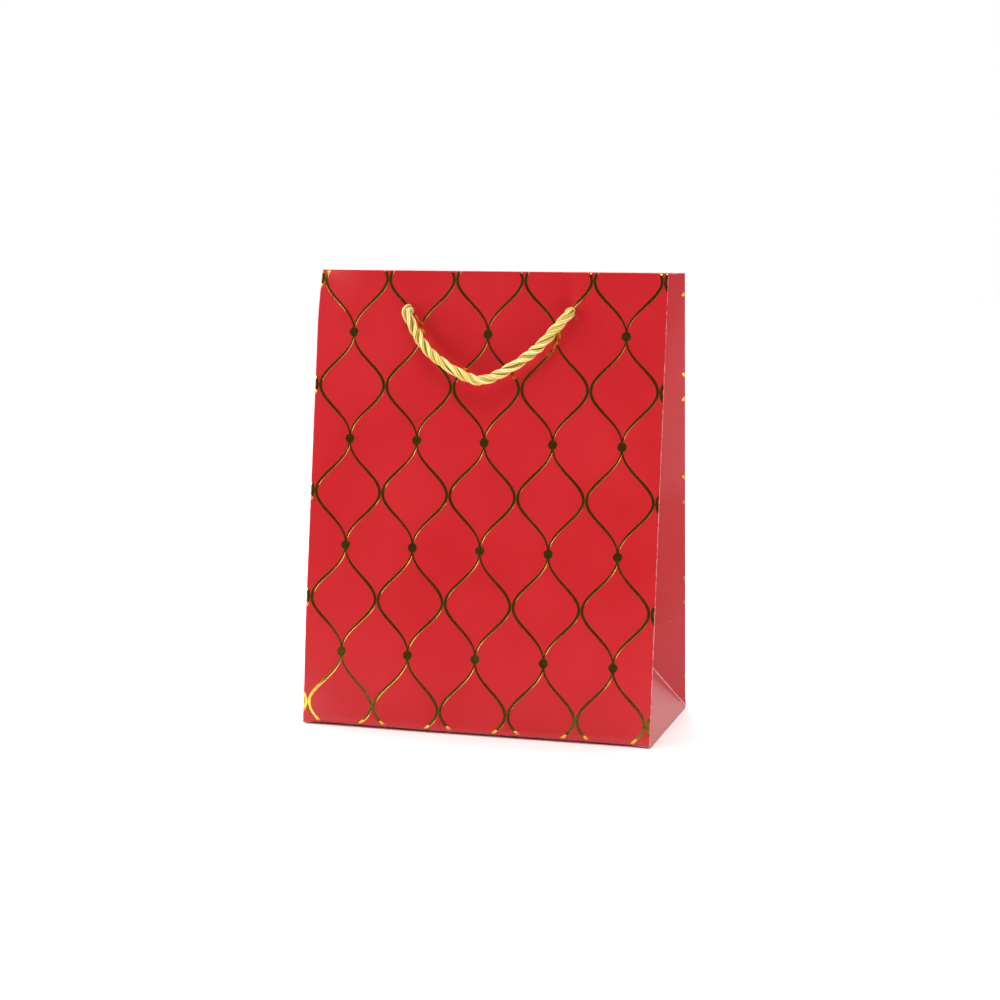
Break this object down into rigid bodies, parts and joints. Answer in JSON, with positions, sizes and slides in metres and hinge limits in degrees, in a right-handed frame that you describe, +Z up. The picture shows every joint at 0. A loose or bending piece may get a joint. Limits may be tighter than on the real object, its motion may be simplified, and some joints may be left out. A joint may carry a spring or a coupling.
{
  "type": "gift bag",
  "caption": "Paper gift bag with pleated side gussets, a folded flat bottom, a loose base board and two twisted rope handles that swing.",
  "frame": {"origin": "centre of the base, on the surface that the bag stands on", "axes": "+Z up, +X to the right as the front is looked at, and the front faces -Y"},
  "size_m": [0.1798, 0.0998, 0.2285],
  "materials": {
    "red_paper": "gloss laminated",
    "white_paper": "matt uncoated",
    "grey_card": "matt",
    "gold_rope": "lustrous twisted yarn",
    "gold_foil": "hot stamped foil"
  },
  "bodies": {
    "base": {"bottom_flap_front": "red_paper", "bottom_flap_back": "red_paper", "bottom_flap_right": "white_paper", "bottom_flap_left": "white_paper", "base_board": "grey_card"},
    "front_wall": {"front_panel": "red_paper", "front_hem": "red_paper", "front_top_card": "grey_card", "rope_end_front_right": "gold_rope", "rope_end_front_left": "gold_rope"},
    "back_wall": {"back_panel": "red_paper", "back_hem": "red_paper", "back_top_card": "grey_card", "glue_tab": "white_paper", "rope_end_back_right": "gold_rope", "rope_end_back_left": "gold_rope"},
    "pleat_right_front": {"gusset_right_front": "red_paper", "hem_right_front": "red_paper"},
    "pleat_right_rear": {"gusset_right_rear": "red_paper", "hem_right_rear": "red_paper"},
    "pleat_left_front": {"gusset_left_front": "red_paper", "hem_left_front": "red_paper"},
    "pleat_left_rear": {"gusset_left_rear": "red_paper", "hem_left_rear": "red_paper"},
    "corner_right_front": {"corner_right_front": "red_paper"},
    "corner_right_rear": {"corner_right_rear": "red_paper"},
    "corner_left_front": {"corner_left_front": "red_paper"},
    "corner_left_rear": {"corner_left_rear": "red_paper"},
    "foot_right": {"foot_right": "red_paper"},
    "foot_left": {"foot_left": "red_paper"},
    "front_handle": {"rope_front": "gold_rope"},
    "back_handle": {"rope_back": "gold_rope"}
  },
  "joints": [
    {"name": "mouth", "type": "hinge", "parent": "base", "child": "front_wall", "pos_m": [0, -0.04985, 0.00015], "axis": [-1, 0, 0], "range_deg": [-3, 2.5]},
    {"name": "back_wall_fold", "type": "hinge", "parent": "base", "child": "back_wall", "pos_m": [0, 0.04985, 0.00015], "axis": [1, 0, 0], "range_deg": [-3, 2.5]},
    {"name": "pleat_right_front_fold", "type": "hinge", "parent": "front_wall", "child": "pleat_right_front", "pos_m": [0.08985, -0.04985, 0.00015], "axis": [0, 0.1184, 0.993], "range_deg": [-16.2, 13.5]},
    {"name": "corner_right_front_fold", "type": "hinge", "parent": "front_wall", "child": "corner_right_front", "pos_m": [0.08985, -0.04985, 0.00015], "axis": [0, 0.1184, 0.993], "range_deg": [-5.82, 4.85]},
    {"name": "pleat_right_rear_fold", "type": "hinge", "parent": "back_wall", "child": "pleat_right_rear", "pos_m": [0.08985, 0.04985, 0.00015], "axis": [0, 0.1184, -0.993], "range_deg": [-16.2, 13.5]},
    {"name": "corner_right_rear_fold", "type": "hinge", "parent": "back_wall", "child": "corner_right_rear", "pos_m": [0.08985, 0.04985, 0.00015], "axis": [0, 0.1184, -0.993], "range_deg": [-5.82, 4.85]},
    {"name": "foot_right_fold", "type": "hinge", "parent": "base", "child": "foot_right", "pos_m": [0.08985, 0, 0.00015], "axis": [0, -1, 0], "range_deg": [-5.82, 4.85]},
    {"name": "pleat_left_front_fold", "type": "hinge", "parent": "front_wall", "child": "pleat_left_front", "pos_m": [-0.08985, -0.04985, 0.00015], "axis": [0, -0.1184, -0.993], "range_deg": [-16.2, 13.5]},
    {"name": "corner_left_front_fold", "type": "hinge", "parent": "front_wall", "child": "corner_left_front", "pos_m": [-0.08985, -0.04985, 0.00015], "axis": [0, -0.1184, -0.993], "range_deg": [-5.82, 4.85]},
    {"name": "pleat_left_rear_fold", "type": "hinge", "parent": "back_wall", "child": "pleat_left_rear", "pos_m": [-0.08985, 0.04985, 0.00015], "axis": [0, -0.1184, 0.993], "range_deg": [-16.2, 13.5]},
    {"name": "corner_left_rear_fold", "type": "hinge", "parent": "back_wall", "child": "corner_left_rear", "pos_m": [-0.08985, 0.04985, 0.00015], "axis": [0, -0.1184, 0.993], "range_deg": [-5.82, 4.85]},
    {"name": "foot_left_fold", "type": "hinge", "parent": "base", "child": "foot_left", "pos_m": [-0.08985, 0, 0.00015], "axis": [0, 1, 0], "range_deg": [-5.82, 4.85]},
    {"name": "front_handle_swing", "type": "hinge", "parent": "front_wall", "child": "front_handle", "pos_m": [0, -0.02843, 0.20808], "axis": [-1, 0, 0], "range_deg": [0, 160]},
    {"name": "back_handle_swing", "type": "hinge", "parent": "back_wall", "child": "back_handle", "pos_m": [0, 0.02843, 0.20808], "axis": [1, 0, 0], "range_deg": [0, 160]}
  ],
  "couplings": [
    {"joint": "back_wall_fold", "follows": "mouth", "ratio": 1},
    {"joint": "pleat_right_front_fold", "follows": "mouth", "ratio": 5.4},
    {"joint": "corner_right_front_fold", "follows": "mouth", "ratio": 1.94},
    {"joint": "pleat_right_rear_fold", "follows": "mouth", "ratio": 5.4},
    {"joint": "corner_right_rear_fold", "follows": "mouth", "ratio": 1.94},
    {"joint": "foot_right_fold", "follows": "mouth", "ratio": 1.94},
    {"joint": "pleat_left_front_fold", "follows": "mouth", "ratio": 5.4},
    {"joint": "corner_left_front_fold", "follows": "mouth", "ratio": 1.94},
    {"joint": "pleat_left_rear_fold", "follows": "mouth", "ratio": 5.4},
    {"joint": "corner_left_rear_fold", "follows": "mouth", "ratio": 1.94},
    {"joint": "foot_left_fold", "follows": "mouth", "ratio": 1.94}
  ]
}
